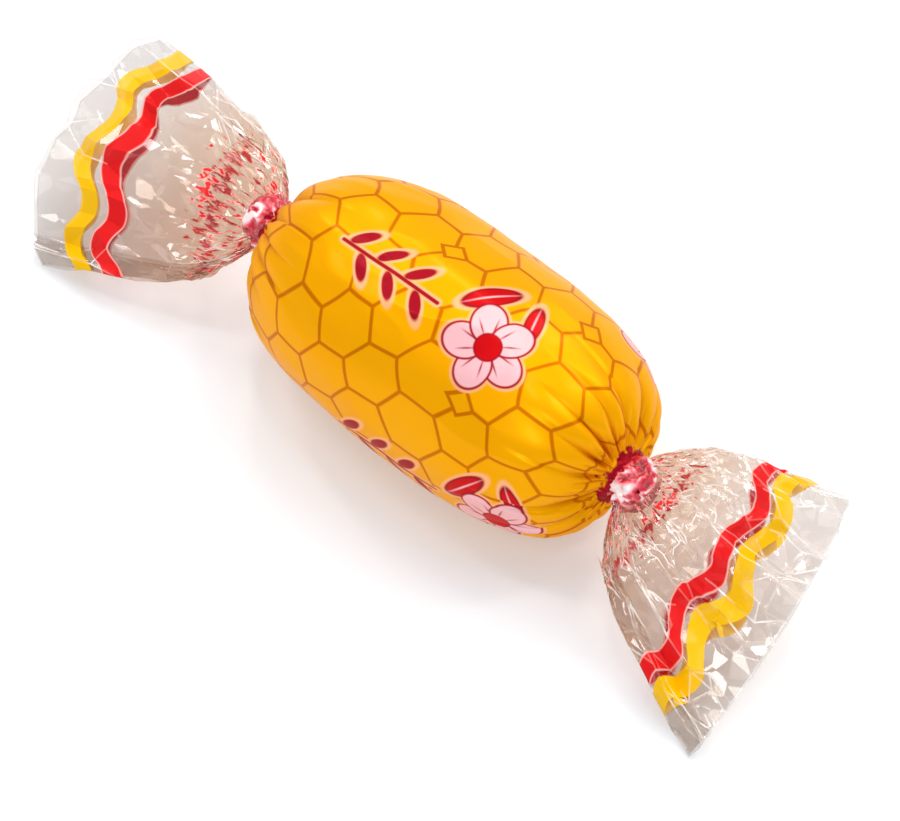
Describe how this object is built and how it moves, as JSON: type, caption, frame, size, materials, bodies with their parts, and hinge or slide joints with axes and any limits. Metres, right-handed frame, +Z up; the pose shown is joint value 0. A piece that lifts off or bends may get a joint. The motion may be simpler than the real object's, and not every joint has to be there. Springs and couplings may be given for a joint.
{
  "type": "wrapped molasses taffy",
  "caption": "Chewy sweet in a printed golden film wrap, rounded oblong, with a twisted neck and a clear pleated fan at each end, lying on its side.",
  "frame": {"origin": "bottom centre of the whole sweet's box, on the surface that it lies on", "axes": "+X along the chew towards the end with the shorter fan, +Y across it, +Z up"},
  "size_m": [0.0678, 0.0198, 0.0167],
  "materials": {
    "printed_film": "glossy printed wrapping film, golden yellow with a thin orange honeycomb",
    "clear_film": "clear glossy wrapping film with a red and a yellow wave"
  },
  "bodies": {
    "root": {"wrapped_body": "printed_film", "twist_end_left": "clear_film", "twist_end_right": "clear_film"}
  },
  "joints": []
}
